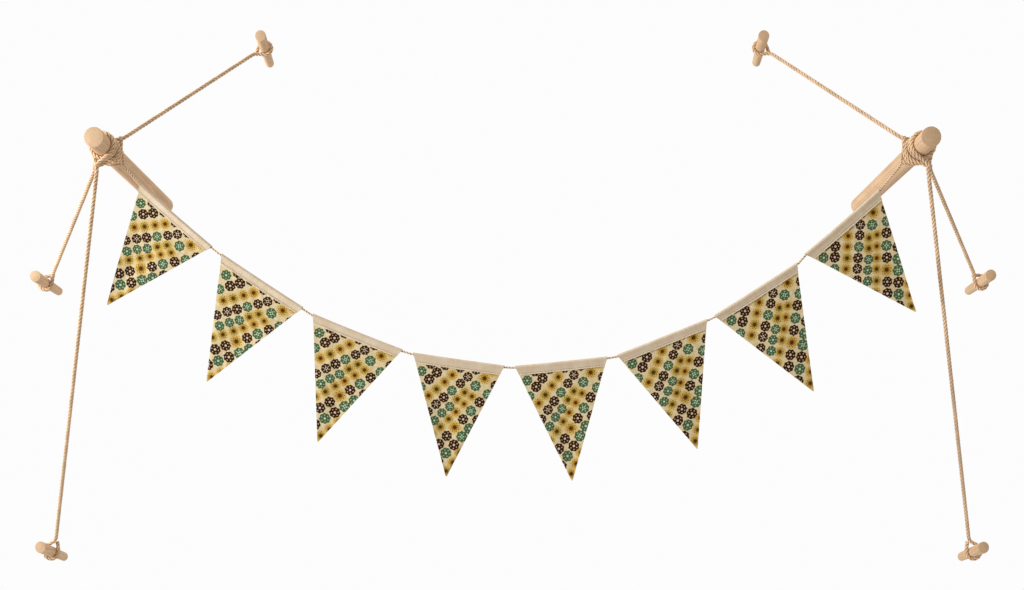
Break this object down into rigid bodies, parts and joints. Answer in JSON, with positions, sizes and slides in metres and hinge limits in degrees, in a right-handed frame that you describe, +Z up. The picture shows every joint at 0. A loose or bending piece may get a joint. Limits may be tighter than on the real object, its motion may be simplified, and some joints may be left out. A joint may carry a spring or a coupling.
{
  "type": "fabric bunting on wooden wall posts",
  "caption": "String of small triangular floral cotton pennants, hung between two wooden wall posts that are stayed by twisted cords to pegs.",
  "frame": {"origin": "on the wall's face, midway between the feet of the two posts", "axes": "+X to the viewer's right along the wall, +Y into the wall, +Z up"},
  "size_m": [1.1227, 0.212, 0.6272],
  "materials": {
    "wood": "sanded, unvarnished",
    "jute": "matte",
    "string": "matte",
    "tape": "matte",
    "printed_cotton": "matte"
  },
  "bodies": {
    "root": {"post_left": "wood", "post_right": "wood", "peg_upper_left": "wood", "peg_upper_right": "wood", "peg_outer_left": "wood", "peg_outer_right": "wood", "peg_lower_left": "wood", "peg_lower_right": "wood", "stay_upper_left": "jute", "stay_upper_right": "jute", "stay_outer_left": "jute", "stay_outer_right": "jute", "stay_lower_left": "jute", "stay_lower_right": "jute", "bunting_string": "string", "heading_1": "tape", "heading_2": "tape", "heading_3": "tape", "heading_4": "tape", "heading_5": "tape", "heading_6": "tape", "heading_7": "tape", "heading_8": "tape", "pennant_1": "printed_cotton", "pennant_2": "printed_cotton", "pennant_3": "printed_cotton", "pennant_4": "printed_cotton", "pennant_5": "printed_cotton", "pennant_6": "printed_cotton", "pennant_7": "printed_cotton", "pennant_8": "printed_cotton"}
  },
  "joints": []
}
